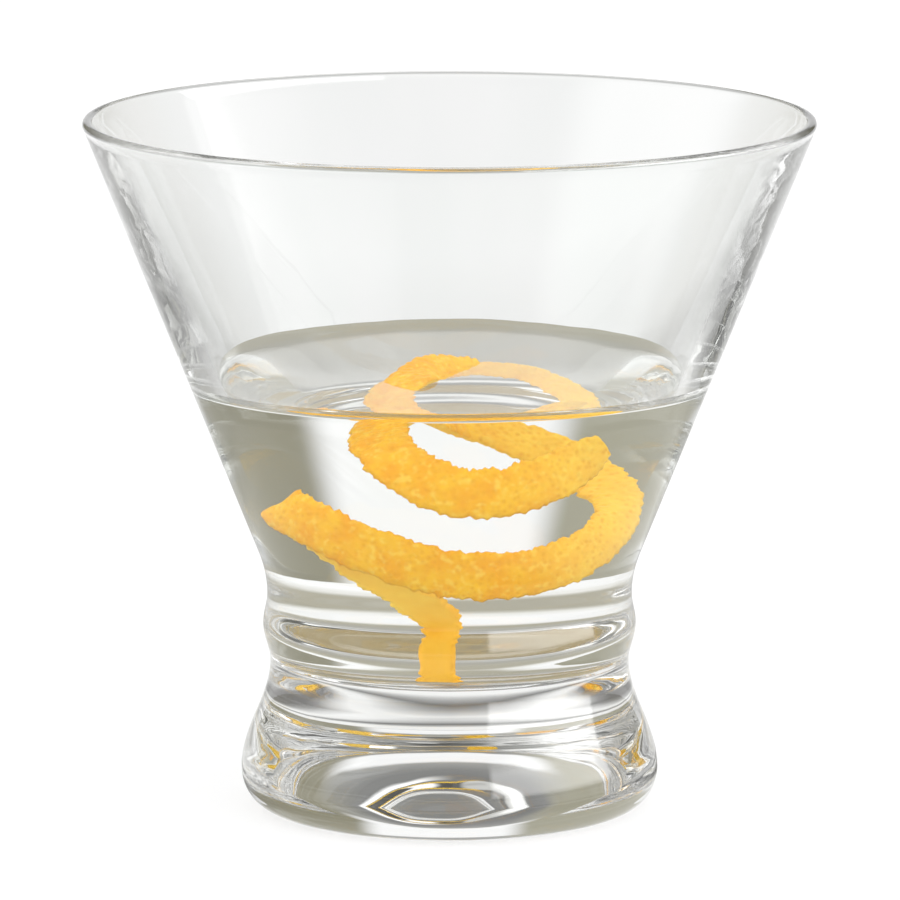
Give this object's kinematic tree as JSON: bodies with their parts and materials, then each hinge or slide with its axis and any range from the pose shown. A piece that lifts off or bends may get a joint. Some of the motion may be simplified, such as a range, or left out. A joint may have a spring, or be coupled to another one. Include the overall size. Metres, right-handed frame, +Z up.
{
  "type": "stemless martini glass",
  "caption": "Stemless martini glass: flared conical bowl on a ringed waist and thick round foot, holding a clear drink and a long spiral citrus twist that lifts out.",
  "frame": {"origin": "on the table, under the middle of the foot", "axes": "+Z up along the glass's axis; -Y is the front, the side that the picture shows"},
  "size_m": [0.1038, 0.1038, 0.099],
  "materials": {
    "clear_glass": "polished",
    "clear_drink": "clear liquid",
    "citrus_peel": "dimpled, moist"
  },
  "bodies": {
    "glass": {"glass": "clear_glass", "drink": "clear_drink"},
    "twist": {"citrus_twist": "citrus_peel"}
  },
  "joints": [
    {"name": "twist_lift", "type": "slide", "parent": "glass", "child": "twist", "axis": [0, 0, 1], "range_m": [0, 0.085], "deforming": ["drink"]}
  ]
}
